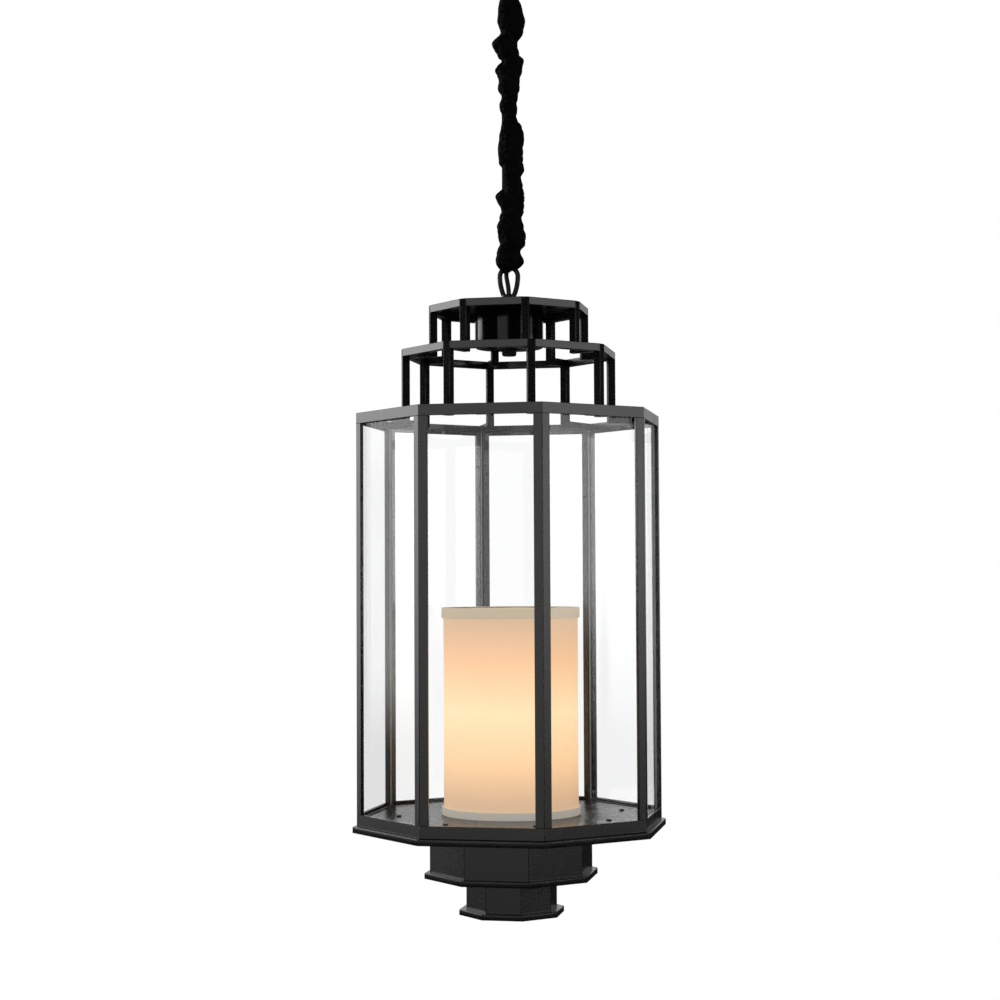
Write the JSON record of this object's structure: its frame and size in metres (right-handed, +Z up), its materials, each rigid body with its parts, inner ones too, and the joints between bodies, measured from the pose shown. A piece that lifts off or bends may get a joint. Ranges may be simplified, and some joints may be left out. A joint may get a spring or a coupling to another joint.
{
  "type": "hanging lantern",
  "caption": "Eight-sided black metal and glass lantern with a lit fabric drum shade inside, hung from a sleeved chain and a ceiling canopy.",
  "frame": {"origin": "centre of the canopy's ceiling face; the lantern hangs below it", "axes": "+Z up towards the ceiling; +X along one flat's normal and along the ceiling bracket"},
  "size_m": [0.4158, 0.4158, 1.3702],
  "materials": {
    "frame_black": "satin black powder coat",
    "canister_black": "gloss black enamel",
    "chain_black": "black lacquered steel",
    "hardware": "blackened steel",
    "zinc": "zinc plated",
    "glass": "clear float glass",
    "bulb_glass": "opal glass, lit",
    "bulb_cap": "threaded cap",
    "shade_cloth": "off-white linen on a stiff lining",
    "shade_band": "folded linen trim",
    "sleeve_cloth": "gathered black velvet sleeve",
    "cable_black": "black sheath",
    "holder_black": "black moulded plastic",
    "terminal_white": "white moulded plastic"
  },
  "bodies": {
    "ceiling": {"canopy": "frame_black", "ceiling_bracket": "zinc", "hook": "hardware", "hook_nut": "zinc", "canopy_nut": "hardware", "canopy_screws": "hardware", "terminal_block": "terminal_white", "cable_upper": "cable_black"},
    "top_link": {"top_link": "chain_black"},
    "chain": {"chain_links": "chain_black", "chain_sleeve": "sleeve_cloth", "cable_run": "cable_black"},
    "bottom_link": {"bottom_link": "chain_black"},
    "lantern": {"cable_tail": "cable_black", "eye_bolt": "hardware", "stem_tube": "zinc", "top_plate": "frame_black", "top_screws": "hardware", "canister": "canister_black", "canister_nut": "hardware", "tier2_rails": "frame_black", "tier2_posts": "frame_black", "tier2_spokes": "frame_black", "tier1_rails": "frame_black", "tier1_posts": "frame_black", "tier1_spokes": "frame_black", "top_rails": "frame_black", "bottom_rails": "frame_black", "stiles_left": "frame_black", "stiles_right": "frame_black", "glass_panes": "glass", "glazing_beads": "hardware", "glass_clips": "hardware", "floor_plate": "frame_black", "floor_spacers": "zinc", "floor_screws": "hardware", "base_pan": "frame_black", "mid_pan": "frame_black", "low_pan": "frame_black", "mid_box": "frame_black", "low_box": "frame_black", "tie_rod": "zinc", "rod_nut_low": "zinc", "rod_nut_base": "zinc", "rod_nut_floor": "hardware", "base_screws": "hardware", "lamp_holder": "holder_black", "holder_ring": "holder_black", "bulb_cap": "bulb_cap", "bulb_glass": "bulb_glass", "shade_cloth": "shade_cloth", "shade_top_band": "shade_band", "shade_bottom_band": "shade_band", "shade_top_ring": "zinc", "shade_carrier": "zinc"}
  },
  "joints": [
    {"name": "hook_swing", "type": "hinge", "parent": "ceiling", "child": "top_link", "pos_m": [0, 0, -0.06], "axis": [0, 1, 0], "range_deg": [-25, 25]},
    {"name": "top_link_swing", "type": "hinge", "parent": "top_link", "child": "chain", "pos_m": [0, 0, -0.08476], "axis": [1, 0, 0], "range_deg": [-25, 25], "deforming": ["chain_sleeve", "cable_run", "cable_upper"]},
    {"name": "bottom_link_swing", "type": "hinge", "parent": "chain", "child": "bottom_link", "pos_m": [0, 0, -0.43834], "axis": [1, 0, 0], "range_deg": [-25, 25]},
    {"name": "eye_swing", "type": "hinge", "parent": "bottom_link", "child": "lantern", "pos_m": [0, 0, -0.4636], "axis": [0, 1, 0], "range_deg": [-25, 25], "deforming": ["cable_tail"]}
  ]
}
